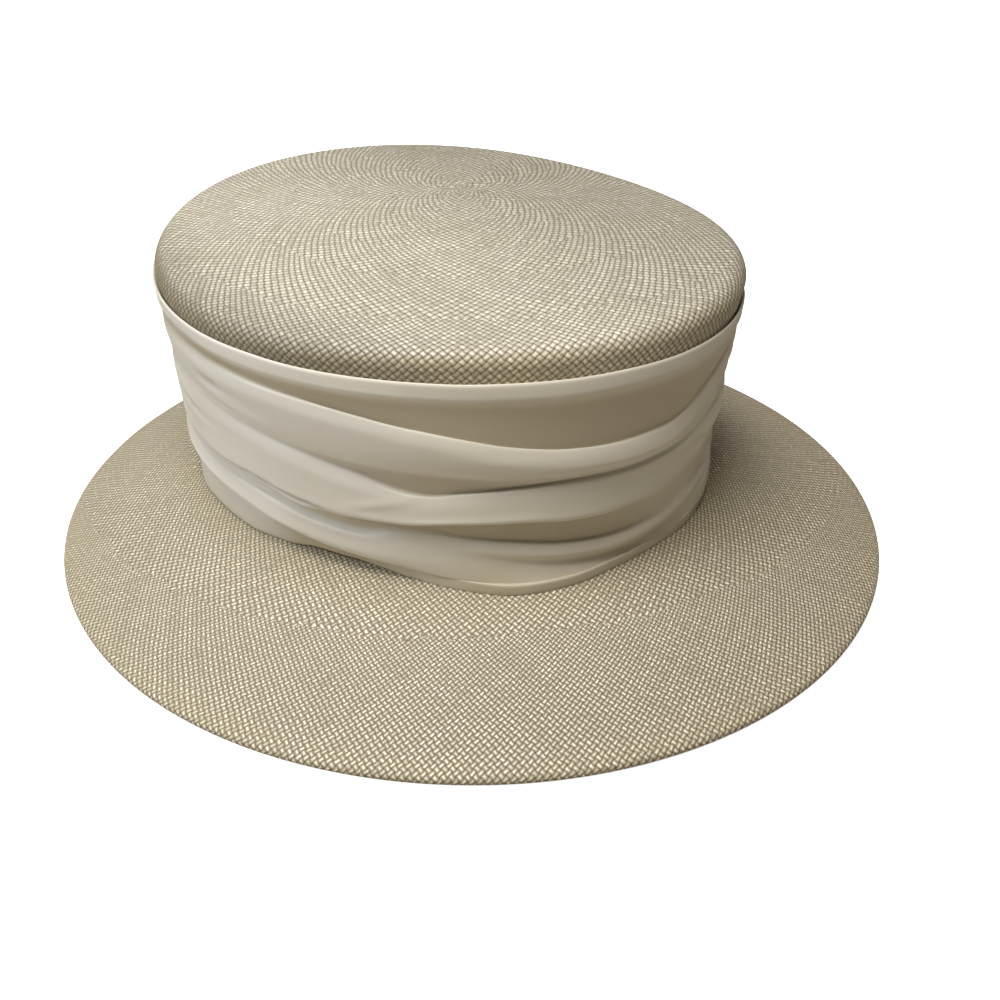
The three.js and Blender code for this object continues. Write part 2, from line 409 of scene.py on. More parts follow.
def band_outline(turn):
    """Handles of the band's section at each turn, from inside its top edge to under its foot.

    Each handle says how far it stands off the straw, and its height, in millimetres.
    """
    at = {name: round_value(column, turn) for name, column in fold_heights.items()}
    off = {name: round_value(column, turn) for name, column in fold_depths.items()}
    lap = {name: round_value(column, turn) for name, column in fold_laps.items()}
    points = []

    def add(stand_off, height):
        points.append([stand_off + 0 * turn, height + 0 * turn])

    def rising_lip(name, hollow, roll, overlap, end):
        """From a hollow out to the roll below it, whose edge may fold up over the hollow."""
        edge, fold = at[name], lap[name]
        reach = np.clip((edge - end) / 6.5, 0.3, 1)
        add(mix(hollow, np.minimum(hollow, 0.9), fold), edge + mix(2.6, 0.6, fold))
        add(mix(hollow, 0.9, fold), edge + mix(1.6, -overlap * reach, fold))
        add(mix(mix(hollow, roll, 0.3), 1.2, fold), edge + mix(0.7, -overlap * 0.8 * reach, fold))
        add(mix(mix(hollow, roll, 0.5), mix(1.2, roll, 0.3), fold), edge + mix(-0.2, -0.6 * reach, fold))
        add(mix(hollow, roll, mix(0.66, 0.42, fold)), edge + mix(-1.2 * reach, 0.35, fold))
        add(mix(hollow, roll, mix(0.8, 0.66, fold)), edge + mix(-2.2, -1.2, fold) * reach)
        add(mix(hollow, roll, mix(0.93, 0.86, fold)), edge + mix(-3.4, -3.0, fold) * reach)
        add(roll, edge - 5.0 * reach)

    def falling_lip(name, hollow, roll, overlap):
        """From a roll in to the hollow below it, which the roll's edge may fold down over."""
        edge, fold = at[name], lap[name]
        add(roll + mix(0.0, 0.1, fold), edge + mix(2.4, 0.8, fold))
        add(roll - mix(0.1, 0.5, fold), edge + mix(1.2, -0.3, fold))
        add(mix(mix(roll, hollow, 0.4), roll - 1.1, fold), edge + mix(0.2, 0.5, fold))
        behind = np.minimum(hollow + 0.5, roll - 1.2)
        add(mix(mix(roll, hollow, 0.7), behind, fold), edge + mix(-0.6, overlap * 0.8, fold))
        add(hollow, edge + mix(-1.6, overlap, fold))
        add(hollow, edge + mix(-2.4, -0.4, fold))

    top, hollow = at["top_edge"], at["top_hollow"]
    add(0.45, top - 9)
    add(0.45, top - 3)
    add(0.6, top - 0.5)
    add(1.2, top + 0.3)
    add(mix(1.1, off["top_roll"], 0.35), top - 0.7)
    add(mix(1.1, off["top_roll"], 0.65), top - 2.2)
    add(off["top_roll"], top - 4.2)
    add(off["top_roll"], mix(top, hollow, 0.52))
    add(mix(off["top_roll"], off["top_hollow"], 0.55), mix(top, hollow, 0.78))
    add(off["top_hollow"], hollow)
    add(off["top_hollow"], mix(hollow, at["cross_top"], 0.6))
    rising_lip("cross_top", off["top_hollow"], off["cross_roll"], 1.2, at["cross_low"])
    add(off["cross_roll"], mix(at["cross_top"] - 4, at["cross_low"], 0.5))
    add(off["cross_roll"] - 0.5, at["cross_low"] + 0.4)
    add(mix(off["cross_roll"], off["middle_hollow"], 0.7), mix(at["cross_low"], at["middle_top"], 0.2))
    add(off["middle_hollow"], mix(at["cross_low"], at["middle_top"], 0.42))
    add(off["middle_hollow"], mix(at["cross_low"], at["middle_top"], 0.76))
    rising_lip("middle_top", off["middle_hollow"], off["middle_roll"] - 0.3, 0.8, at["middle_low"] + 4)
    fuller = 0.9 * lap["middle_low"]
    add(off["middle_roll"], mix(at["middle_top"] - 4, at["middle_low"], 0.4))
    add(off["middle_roll"] + 0.1 + fuller * 0.45, mix(at["middle_top"] - 4, at["middle_low"], 0.7))
    falling_lip("middle_low", off["low_valley"], off["middle_roll"] - 0.1 + fuller, 2.2)
    rising_lip("lower_top", off["low_valley"], off["lower_roll"], 0.5, at["lower_low"] + 1.5)
    add(mix(off["lower_roll"], off["lower_hollow"], 0.4), mix(at["lower_top"], at["lower_low"], 0.8))
    add(off["lower_hollow"], at["lower_low"] - 0.4)
    add(mix(off["lower_hollow"], off["foot_roll"], 0.45), mix(at["lower_low"], at["foot_belly"], 0.5))
    add(off["foot_roll"] - 0.1, at["foot_belly"])
    foot_radius = side_radius(turn, headline_height) + off["foot_edge"]
    foot = brim_top_at(turn, foot_radius) + 0.55 + off["foot_lift"]
    edge = np.maximum(at["drape_edge"], foot + 1.2)
    at["drape_edge"] = edge
    foot_edge, fold = off["foot_edge"], lap["drape_edge"]
    add(mix(off["foot_roll"], foot_edge, 0.25), mix(at["foot_belly"], edge, 0.6))
    lip = np.maximum(foot_edge + fold * 1.5, mix(foot_edge, 3.8, fold))
    falling_lip("drape_edge", foot_edge - 1.1 * fold, lip, 1.4)
    add(foot_edge + 0.05, mix(edge - 2.5 * fold, foot, 0.7))
    add(foot_edge - 0.1, foot)
    add(foot_edge - 0.9, foot + 0.05)
    add(np.minimum(foot_edge - 0.9, 1.2) * 0.6, foot + 0.7)
    return np.array(points)


def along_curve(points, count, evenness):
    """Points along a smooth curve near a line of handles, spaced by length as far as evenness says."""
    handles = np.concatenate([points[:1], points[:1], points, points[-1:], points[-1:]])
    spans = len(handles) - 3
    middles = (handles[1:-1] - handles[:-2]) * 0.5 + (handles[2:] - handles[1:-1]) * 0.5
    length = np.hypot(middles[:, 0], middles[:, 1]).mean(1)[:spans]
    share = evenness * length / length.sum() + (1 - evenness) / spans
    reached = np.concatenate([[0], np.cumsum(share)])
    where = np.interp(np.linspace(0, reached[-1], count), reached, np.arange(spans + 1.0))
    where = np.minimum(where, spans - 1e-9)
    first = where.astype(int)
    t = (where - first)[:, None, None]
    a, b, c, d = (handles[first + step] for step in range(4))
    return (
        (1 - t) ** 3 * a + (3 * t**3 - 6 * t**2 + 4) * b
        + (-3 * t**3 + 3 * t**2 + 3 * t + 1) * c + t**3 * d
    ) / 6


def smooth_waves(turn, height, seed, count, turn_wave, height_wave):
    """Soft seeded waves over the band, from -1 to 1."""
    chance = np.random.default_rng(seed)
    total = np.zeros_like(turn + height)
    for _ in range(count):
        rounds = chance.integers(turn_wave[0], turn_wave[1] + 1)
        high = chance.uniform(*height_wave)
        slant = chance.uniform(0, math.tau)
        total = total + np.sin(np.radians(turn) * rounds + height * math.tau / high + slant)
    return total / count


def drape_band(turns, count):
    """The band's surface: radius, height and how shaded it is, from 0 to 1, for each row and turn."""
    outline = along_curve(band_outline(turns).transpose(0, 2, 1), count, evenness=0.55)
    off, height = outline[..., 0], outline[..., 1]
    everywhere = turns[None, :] + 0 * height
    crumpled = np.zeros_like(turns)
    for place, spread in crumpled_places:
        apart = (turns - place + 180) % 360 - 180
        crumpled = np.maximum(crumpled, np.exp(-((apart / spread) ** 2)))
    open_part = np.clip((off - 0.8) / 1.0, 0, 1)
    inside = np.clip((fold_top(turns) - height) / 6, 0, 1) * np.clip((height - 26) / 5, 0, 1)
    fine = smooth_waves(everywhere, height, seed=3, count=9, turn_wave=(2, 9), height_wave=(3.4, 6.5))
    broad = smooth_waves(everywhere, height, seed=8, count=6, turn_wave=(3, 14), height_wave=(18, 60))
    off = off + open_part * inside * (fine * (0.08 + 0.3 * crumpled) + broad * 0.3)
    crease_shade = np.zeros_like(off)
    for turn_a, high_a, turn_b, high_b, deep, wide in creases:
        along = (turns - turn_a) / (turn_b - turn_a)
        fade = np.exp(-(((along - 0.5) / 0.42) ** 4))
        line = high_a + (high_b - high_a) * along
        groove = inside * fade * deep * np.exp(-(((height - line) / wide) ** 2))
        off = off - open_part * groove
        crease_shade = np.maximum(crease_shade, groove / shaded_crease)
    off = np.maximum(off, crown_clearance)
    wall = side_radius(everywhere, height)
    height = np.maximum(height, brim_top_at(turns, wall + off) + brim_clearance)
    # Painted shade for the satin's colour: below the top edge where the satin lies near the straw, and
    # along the creases.
    shaded = np.clip((fold_top(turns) - height - 2) / 4, 0, 1) * np.clip(1 - off / 3.4, 0, 1)
    return wall + off, height, np.clip(np.maximum(shaded, crease_shade), 0, 1)


# Turns where the satin is crumpled, each with its spread, and how deep a fully shaded crease is
crumpled_places = ((-122, 22), (27, 18))
shaded_crease = 2.4

# Small creases, each from a turn and height to another, with its depth and half-width
creases = [
    (-99, 81.6, -77, 77.6, 1.5, 0.8),
    (-99, 78.0, -76, 73.2, -0.4, 1.6),
    (-106, 48.8, -80, 50.0, 2.5, 0.8),
    (-90, 50.2, -64, 46.2, 2.4, 0.8),
    (-116, 37.8, -86, 35.8, 2.5, 0.8),
    (-96, 36.8, -70, 30.8, 2.4, 0.8),
    (-100, 90.6, -84, 89.2, 0.7, 0.8),
    (-62, 50.0, -46, 57.0, -0.4, 1.5),
    (-118, 66, -96, 62, 0.5, 1.3),
    (-120, 57, -98, 55, 0.4, 1.2),
    (6, 58, 26, 50, 0.5, 1.4),
    (8, 44, 26, 38, 0.4, 1.3),
    (-14, 56, 14, 53, 0.25, 2.2),
]


def fold_top(turns):
    return round_value(fold_heights["top_edge"], turns)


def satin_ring(name, steps, rows):
    """A flat grid of satin, wrapped round the crown and laid in its folds."""
    mesh = bmesh.new()
    bmesh.ops.create_grid(mesh, x_segments=steps, y_segments=rows, size=1, calc_uvs=True)
    turns = np.linspace(-180, 180, steps + 1)
    radius, height, shaded = drape_band(turns, rows + 1)
    length = np.hypot(np.diff(radius, axis=0), np.diff(height, axis=0)).mean(1)
    drawn = np.concatenate([[0], np.cumsum(length)])
    cloth = mesh.loops.layers.uv.verify()
    for face in mesh.faces:
        for loop in face.loops:
            across, down = loop[cloth].uv
            row = round(down * rows)
            loop[cloth].uv = (across * cloth_length, -drawn[rows - row] * MM)
    # The hollow attribute carries the painted shade of folds and creases.
    painted_shade_layer = mesh.verts.layers.float.new("hollow")
    for vertex in mesh.verts:
        step = round((vertex.co.x + 1) / 2 * steps)
        row = rows - round((vertex.co.y + 1) / 2 * rows)
        vertex[painted_shade_layer] = float(shaded[row, step])
        vertex.co = placed(turns[step], radius[row, step], height[row, step])
    bmesh.ops.remove_doubles(mesh, verts=mesh.verts, dist=1e-6)
    bmesh.ops.recalc_face_normals(mesh, faces=mesh.faces)
    outward = sum(face.normal.xy.dot(face.calc_center_median().xy) for face in mesh.faces)
    if outward < 0:
        bmesh.ops.reverse_faces(mesh, faces=mesh.faces)
    return finished(name, mesh), float(drawn[-1] * MM)


# Materials
class Bench:
    """Adds nodes to a node tree, and sets or links their inputs."""

    def __init__(self, tree):
        self.tree = tree

    def node(self, kind, **settings):
        made = self.tree.nodes.new(kind)
        for name, value in settings.items():
            setattr(made, name, value)
        return made

    def feed(self, socket, value):
        if isinstance(value, bpy.types.NodeSocket):
            self.tree.links.new(value, socket)
        elif value is not None:
            socket.default_value = value

    def math(self, operation, a, b=None, clamp=False):
        made = self.node("ShaderNodeMath", operation=operation, use_clamp=clamp)
        for socket, value in zip(made.inputs, (a, b)):
            self.feed(socket, value)
        return made.outputs[0]

    def plus(self, a, b):
        return self.math("ADD", a, b)

    def minus(self, a, b, clamp=False):
        return self.math("SUBTRACT", a, b, clamp=clamp)

    def times(self, a, b):
        return self.math("MULTIPLY", a, b)

    def over(self, a, b, clamp=False):
        return self.math("DIVIDE", a, b, clamp=clamp)

    def distance(self, x, y):
        return self.math("SQRT", self.plus(self.times(x, x), self.times(y, y)))

    def split(self, place):
        made = self.node("ShaderNodeSeparateXYZ")
        self.feed(made.inputs[0], place)
        return made.outputs

    def join(self, kind, *values):
        made = self.node(kind)
        for socket, value in zip(made.inputs, values):
            self.feed(socket, value)
        return made.outputs[0]

    def dim(self, colour, value):
        """A colour times a grey of the value."""
        grey = self.join("ShaderNodeCombineColor", value, value, value)
        return self.blend(1.0, colour, grey, "MULTIPLY")

    def bump(self, shader, height, strength, deep):
        made = self.node("ShaderNodeBump")
        made.inputs["Strength"].default_value = strength
        made.inputs["Distance"].default_value = deep
        self.feed(made.inputs["Height"], height)
        self.feed(shader.inputs["Normal"], made.outputs[0])

    def spread(self, value, low, high):
        """0 at low and 1 at high, with soft ends."""
        made = self.node("ShaderNodeMapRange", interpolation_type="SMOOTHSTEP")
        self.feed(made.inputs["Value"], value)
        self.feed(made.inputs["From Min"], low)
        self.feed(made.inputs["From Max"], high)
        return made.outputs["Result"]

    def blend(self, share, a, b, kind="MIX"):
        made = self.node("ShaderNodeMix", data_type="RGBA", blend_type=kind)
        self.feed(made.inputs["Factor"], share)
        self.feed(made.inputs[6], a)
        self.feed(made.inputs[7], b)
        return made.outputs[2]

    def noise(self, place, scale, detail=2.0, roughness=0.5, result="Fac"):
        made = self.node("ShaderNodeTexNoise")
        self.feed(made.inputs["Vector"], place)
        made.inputs["Scale"].default_value = scale
        made.inputs["Detail"].default_value = detail
        made.inputs["Roughness"].default_value = roughness
        return made.outputs[result]

    def chance(self, dimensions, *place):
        """A random value, from 0 to 1, for each whole-numbered place."""
        made = self.node("ShaderNodeTexWhiteNoise", noise_dimensions=dimensions)
        self.feed(made.inputs["Vector"], self.join("ShaderNodeCombineXYZ", *place))
        return made.outputs["Value"]

    def group(self, tree, **values):
        made = self.node("ShaderNodeGroup", node_tree=tree)
        for name, value in values.items():
            self.feed(made.inputs[name.replace("_", " ").title()], value)
        return made


def new_group(name, inputs, outputs):
    tree = bpy.data.node_groups.new(name, "ShaderNodeTree")
    for label, kind, default in inputs:
        socket = tree.interface.new_socket(label, in_out="INPUT", socket_type=kind)
        if default is not None:
            socket.default_value = default
    for label, kind in outputs:
        tree.interface.new_socket(label, in_out="OUTPUT", socket_type=kind)
    bench = Bench(tree)
    start = bench.node("NodeGroupInput")
    end = bench.node("NodeGroupOutput")
    return tree, bench, start.outputs, end.inputs


NUMBER, PLACE = "NodeSocketFloat", "NodeSocketVector"

# The round weave, in metres: strands are added in rings, each a little wider than the last.
weave_middle = 0.0008
first_ring = 0.003
ring_growth = 1.35
ring_wobble = 0.012
weave_pole = dict(pole_x=0.029, pole_y=0.0343)


def round_weave_group():
    """Where a point lies among strands that spiral out both ways from the weave's middle."""
    tree, bench, given, out = new_group(
        "Round Weave",
        [
            ("Place", PLACE, None), ("Axis X", NUMBER, 0.0), ("Axis Y", NUMBER, 0.0),
            ("Edge Foot", NUMBER, 0.1), ("Edge Radius", NUMBER, 0.005), ("Stretch", NUMBER, 1.0),
            ("Pole X", NUMBER, 0.0), ("Pole Y", NUMBER, 0.0),
            ("Pitch", NUMBER, 0.0019), ("Lean", NUMBER, 0.0), ("Wander", NUMBER, 0.3),
        ],
        [("Strand A", NUMBER), ("Strand B", NUMBER), ("Ring", NUMBER)],
    )
    place = bench.split(given["Place"])
    x = bench.minus(place[0], given["Axis X"])
    y = bench.minus(place[1], given["Axis Y"])
    far = bench.distance(x, y)
    above = bench.minus(place[2], given["Edge Foot"])
    lean = bench.math("ARCSINE", bench.over(above, given["Edge Radius"], clamp=True))
    curl = bench.minus(bench.minus(math.pi / 2, lean), bench.math("COSINE", lean))
    below = bench.math("MAXIMUM", bench.times(above, -1.0), 0.0)
    drop = bench.plus(bench.times(curl, given["Edge Radius"]), below)
    drop = bench.over(drop, given["Stretch"])
    grow = bench.plus(1.0, bench.over(drop, bench.math("MAXIMUM", far, 0.001)))
    x = bench.plus(bench.times(x, grow), given["Axis X"])
    y = bench.plus(bench.times(y, grow), given["Axis Y"])
    x = bench.minus(x, given["Pole X"])
    y = bench.minus(y, given["Pole Y"])
    far = bench.math("MAXIMUM", bench.distance(x, y), weave_middle)
    turn = bench.math("ARCTAN2", x, bench.times(y, -1.0))
    growth = math.log(ring_growth)
    wobble = bench.minus(bench.noise(given["Place"], 90.0, 4.0, 0.65), 0.5)
    ragged = bench.plus(far, bench.times(wobble, ring_wobble))
    out_share = bench.math("LOGARITHM", bench.over(ragged, first_ring), math.e)
    ring = bench.math("FLOOR", bench.over(out_share, growth))
    start = bench.times(first_ring, bench.math("EXPONENT", bench.times(ring, growth)))
    middle = bench.times(start, math.exp(growth / 2) * math.tau / math.sqrt(2))
    count = bench.math("ROUND", bench.over(middle, given["Pitch"]))
    per_turn = bench.over(count, math.tau)
    out_way = bench.math("LOGARITHM", bench.over(far, start), math.e)
    whole = bench.math("LOGARITHM", bench.over(far, 0.1), math.e)
    row = bench.times(per_turn, out_way)
    leaned = bench.plus(turn, bench.times(whole, given["Lean"]))
    column = bench.times(per_turn, leaned)
    strays = bench.node("ShaderNodeSeparateColor")
    bench.feed(strays.inputs[0], bench.noise(given["Place"], 110.0, 3.0, 0.62, "Color"))
    stray_a = bench.times(bench.minus(strays.outputs[0], 0.5), given["Wander"])
    stray_b = bench.times(bench.minus(strays.outputs[1], 0.5), given["Wander"])
    bench.feed(out["Strand A"], bench.plus(bench.plus(column, row), stray_a))
    bench.feed(out["Strand B"], bench.plus(bench.minus(column, row), stray_b))
    bench.feed(out["Ring"], ring)
    return tree


def plain_weave_group():
    """Over-and-under strands: their height, the crest of each float where a highlight is painted, how much
    straw shows between the gaps where shade is painted, and each strand's own tone, with random brighter
    floats as painted glints.
    """
    tree, bench, given, out = new_group(
        "Plain Weave",
        [
            ("Strand A", NUMBER, 0.0), ("Strand B", NUMBER, 0.0), ("Ring", NUMBER, 0.0),
            ("Width", NUMBER, 0.8), ("Rise", NUMBER, 0.5), ("Roundness", NUMBER, 0.5),
            ("Shine", NUMBER, 0.25), ("First", NUMBER, 1.0), ("Second", NUMBER, 0.8),
        ],
        [("Height", NUMBER), ("Ridge Highlight", NUMBER), ("Gap Shade", NUMBER), ("Shade", NUMBER)],
    )
    sides = {}
    for side in "AB":
        value = given[f"Strand {side}"]
        number = bench.math("FLOOR", value)
        within = bench.minus(bench.math("FRACT", value), 0.5)
        sides[side] = (number, within)
    both = bench.plus(sides["A"][0], sides["B"][0])
    odd = bench.math("FLOORED_MODULO", both, 2.0)
    over = bench.minus(1.0, bench.times(odd, 2.0))
    heights, shades, ridge_highlights = {}, {}, {}
    for side, other in ("AB", "BA"):
        number, within = sides[side]
        travel = bench.math("COSINE", bench.times(sides[other][1], math.pi))
        way = over if side == "A" else bench.times(over, -1.0)
        lift = bench.times(bench.times(way, travel), given["Rise"])
        edge = bench.over(bench.times(within, 2.0), given["Width"])
        dome = bench.minus(1.0, bench.times(edge, edge))
        present = bench.math("GREATER_THAN", dome, 0.0)
        dome = bench.math("SQRT", bench.math("MAXIMUM", dome, 0.0))
        body = bench.plus(lift, bench.times(dome, given["Roundness"]))
        aside = bench.over(bench.math("ABSOLUTE", within), given["Shine"])
        # Painted highlight: a bright band along the crest of each float that rises over the other strand,
        # scaled per strand family by First and Second.
        above = bench.spread(bench.times(way, travel), 0.05, 0.6)
        ridge_highlight = bench.times(bench.spread(aside, 1.0, 0.2), above)
        ridge_highlights[side] = bench.times(ridge_highlight, given["Second" if side == "A" else "First"])
        gone = bench.times(bench.minus(present, 1.0), 4.0)
        heights[side] = bench.plus(body, gone)
        seed = bench.plus(given["Ring"], 0.37 if side == "A" else 7.61)
        shades[side] = bench.chance("2D", number, seed)
    top = bench.math("MAXIMUM", heights["A"], heights["B"])
    top = bench.math("MAXIMUM", top, bench.times(given["Rise"], -1.0))
    low = bench.times(given["Rise"], -1.0)
    high = bench.plus(given["Rise"], given["Roundness"])
    level = bench.over(bench.minus(top, low), bench.minus(high, low))
    # Painted glints: random floats made brighter.
    glint = bench.chance("3D", sides["A"][0], sides["B"][0], given["Ring"])
    first = bench.math("GREATER_THAN", heights["A"], heights["B"])
    shade = bench.node("ShaderNodeMix", data_type="FLOAT")
    bench.feed(shade.inputs["Factor"], first)
    bench.feed(shade.inputs[2], shades["B"])
    bench.feed(shade.inputs[3], shades["A"])
    bench.feed(out["Height"], level)
    bench.feed(out["Ridge Highlight"], bench.math("MAXIMUM", ridge_highlights["A"], ridge_highlights["B"]))
    # Painted shade deep between the strands, where the weave is lowest.
    bench.feed(out["Gap Shade"], bench.spread(level, 0.4, 0.1))
    strand_share = bench.times(shade.outputs[0], 0.5)
    bench.feed(out["Shade"], bench.plus(strand_share, bench.times(glint, 0.5)))
    return tree


def oval_distance_group():
    """How far out a point lies, where 1 is on an oval."""
    tree, bench, given, out = new_group(
        "Oval Distance",
        [
            ("Place", PLACE, None), ("Axis X", NUMBER, 0.0), ("Axis Y", NUMBER, 0.0),
            ("Half Width", NUMBER, 0.1), ("Half Length", NUMBER, 0.1),
        ],
        [("Share", NUMBER)],
    )
    place = bench.split(given["Place"])
    x = bench.over(bench.minus(place[0], given["Axis X"]), given["Half Width"])
    y = bench.over(bench.minus(place[1], given["Axis Y"]), given["Half Length"])
    bench.feed(out["Share"], bench.distance(x, y))
    return tree


def new_material(name):
    material = bpy.data.materials.new(name)
    material.use_nodes = True
    bench = Bench(material.node_tree)
    shader = material.node_tree.nodes["Principled BSDF"]
    return material, bench, shader


def straw_material(name, weave, plain, oval_group, part, look):
    material, bench, shader = new_material(name)
    place = bench.node("ShaderNodeTexCoord").outputs["Object"]
    split = bench.split(place)
    strands = bench.group(weave, place=place, **part["weave"])
    cloudy = bench.noise(place, 32.0, 3.0)
    patch = bench.spread(bench.noise(place, 46.0, 2.0), 0.38, 0.62)
    loss = bench.times(patch, part["patchy"])
    woven = bench.group(
        plain, strand_a=strands.outputs[0], strand_b=strands.outputs[1], ring=strands.outputs[2],
        width=0.8, rise=0.5, roundness=0.62, shine=part["shine"],
        first=bench.plus(part["first"] - part["patchy"], loss),
        second=bench.minus(part["second"], loss),
    )
    speck = bench.noise(place, 420.0, 2.0)
    # Staining mask of the part; on the crown it is also painted shade on the straw above the band.
    stain_and_shade = part["stain_and_shade"](bench, place, split, oval_group)
    stain_and_shade = bench.times(stain_and_shade, bench.plus(0.55, bench.times(cloudy, 0.6)))
    straw = bench.blend(bench.spread(cloudy, 0.35, 0.75), part["straw"], (*look.weathered_colour, 1))
    straw = bench.blend(stain_and_shade, straw, (*look.stain_and_shade_colour, 1))
    # Painted shade: strand sides, under-passing strands and gaps show a much darker colour, darker still
    # where stained or shaded.
    shaded_stain = (*(value * 0.46 for value in look.stain_and_shade_colour), 1)
    under = bench.blend(stain_and_shade, part["under"], shaded_stain)
    under = bench.blend(woven.outputs["Gap Shade"], under, (*look.gap_shade_colour, 1))
    shade = bench.plus(0.64, bench.times(woven.outputs["Shade"], 0.6))
    shade = bench.times(shade, bench.plus(0.88, bench.times(speck, 0.22)))
    straw = bench.dim(straw, shade)
    # Painted highlight: the clean straw colour shows only on the crest of each float, less where stained
    # or shaded; the crest is also glossier.
    ridge_highlight = woven.outputs["Ridge Highlight"]
    painted_highlight = bench.minus(ridge_highlight, bench.times(stain_and_shade, part["highlight_cut"]), clamp=True)
    # The part's painted shade darkens the whole colour.
    colour = bench.dim(bench.blend(painted_highlight, under, straw), part["painted_shade"](bench, split))
    bench.feed(shader.inputs["Base Color"], colour)
    bench.feed(shader.inputs["Roughness"], bench.minus(0.7, bench.times(ridge_highlight, 0.45)))
    bench.bump(shader, woven.outputs["Height"], 1.0, look.relief)
    shader.inputs["Specular IOR Level"].default_value = 0.7
    return material


def crown_stain_and_shade(bench, place, split, oval_group):
    """Staining by the band, partly real and partly painted shade on the straw just above the band,
    stronger towards the wearer's right.
    """
    near_band = bench.spread(split[2], 0.1062, 0.1022)
    stain_and_shade_to_right = bench.plus(0.5, bench.times(bench.spread(split[0], 0.05, -0.09), 0.5))
    return bench.times(near_band, stain_and_shade_to_right)


def crown_painted_shade(bench, split):
    """Painted shade: a darker strip over the band at the wearer's right, and a darker left half of the
    tip.
    """
    low = bench.spread(split[2], 0.1080, 0.1040)
    side = bench.spread(split[0], -0.045, -0.095)
    strip = bench.times(bench.times(low, side), 0.5)
    across = bench.plus(split[0], bench.times(split[1], -0.1))
    left_half = bench.times(bench.spread(across, -0.03, 0.06), 0.22)
    return bench.minus(1.0, bench.math("MAXIMUM", strip, left_half))


def brim_painted_shade(bench, split):
    """The brim gets no painted shade."""
    return 1.0


def brim_stain(bench, place, split, oval_group):
    """Stained by the band and along the rim."""
    wall = bench.group(
        oval_group, place=place, axis_x=crown_x * MM, axis_y=crown_y * MM,
        half_width=headline_width / 2 * MM, half_length=headline_length / 2 * MM,
    )
    near_band = bench.times(bench.spread(wall.outputs[0], 1.24, 1.02), 0.45)
    rim = bench.group(
        oval_group, place=place, axis_x=0.0, axis_y=0.0,
        half_width=brim_width / 2 * MM, half_length=brim_length / 2 * MM,
    )
    near_rim = bench.times(bench.spread(rim.outputs[0], 0.9, 1.0), 0.3)
    return bench.math("MAXIMUM", near_band, near_rim)


def satin_material(name, look):
    """Satin with painted shade deep in its folds and near its foot, aged in random patches, and given a
    darker, warmer painted shade everywhere but the wearer's right, where the side light falls; the foot's
    painted shade is weaker there too.
    """
    material, bench, shader = new_material(name)
    place = bench.node("ShaderNodeTexCoord").outputs["Object"]
    cloth = bench.node("ShaderNodeUVMap", uv_map="UVMap").outputs[0]
    hollow = bench.node("ShaderNodeAttribute", attribute_name="hollow").outputs["Fac"]
    cloudy = bench.noise(place, 26.0, 3.0)
    grain = bench.noise(cloth, 2600.0, 3.0, 0.7)
    # Painted shade deep in the folds and creases.
    painted_fold_shade = bench.times(bench.spread(hollow, 0.2, 0.8), 0.8)
    aged = bench.times(bench.spread(cloudy, 0.4, 0.75), 0.28)
    colour = bench.blend(aged, (*look.satin_colour, 1), (*look.aged_and_shaded_colour, 1))
    colour = bench.blend(painted_fold_shade, colour, (*look.fold_colour, 1))
    split = bench.split(place)
    # Painted shade near the foot of the band, weaker on the wearer's right.
    low = bench.times(bench.spread(split[2], 0.040, 0.022), bench.plus(0.3, cloudy))
    off_right = bench.spread(split[0], -0.1, -0.055)
    low = bench.times(low, bench.plus(0.3, bench.times(off_right, 0.7)))
    colour = bench.blend(bench.times(low, 0.95), colour, (*look.fold_colour, 1))
    # Painted shade: darker and warmer everywhere except the wearer's right, which the side light lights.
    painted_side_shade = bench.times(off_right, 0.4)
    colour = bench.blend(painted_side_shade, colour, (*look.aged_and_shaded_colour, 1))
    mottle = bench.plus(0.93, bench.times(grain, 0.13))
    bench.feed(shader.inputs["Base Color"], bench.dim(colour, mottle))
    bench.feed(shader.inputs["Roughness"], bench.plus(0.36, bench.times(grain, 0.14)))
    bench.bump(shader, grain, 0.5, 0.00006)
    shader.inputs["Specular IOR Level"].default_value = 0.55
    shader.inputs["Sheen Weight"].default_value = 0.3
    shader.inputs["Sheen Roughness"].default_value = 0.35
    shader.inputs["Sheen Tint"].default_value = (1.0, 0.97, 0.9, 1.0)
    return material


def floor_material():
    """White to the camera, and duller for the light that it throws back at the hat."""
    material, bench, shader = new_material("Pale floor")
    place = bench.node("ShaderNodeTexCoord").outputs["Object"]
    speck = bench.noise(place, 40.0, 2.0)
    colour = bench.blend(speck, (0.90, 0.90, 0.90, 1), (0.93, 0.93, 0.93, 1))
    seen = bench.node("ShaderNodeLightPath").outputs["Is Camera Ray"]
    bounced = (0.46, 0.42, 0.355, 1)
    bench.feed(shader.inputs["Base Color"], bench.blend(seen, bounced, colour))
    bench.feed(shader.inputs["Emission Color"], bench.blend(seen, (0, 0, 0, 1), (1, 1, 1, 1)))
    shader.inputs["Emission Strength"].default_value = 0.8
    shader.inputs["Roughness"].default_value = 0.8
    shader.inputs["Specular IOR Level"].default_value = 0.1
    return material


# Settings that a user would change
def tint(name, description, colour):
    return FloatVectorProperty(name=name, description=description, default=colour, subtype="COLOR")


def fine_size(name, description, metres):
    return FloatProperty(
        name=name, description=description, default=metres, unit="LENGTH", subtype="DISTANCE", precision=5,
    )


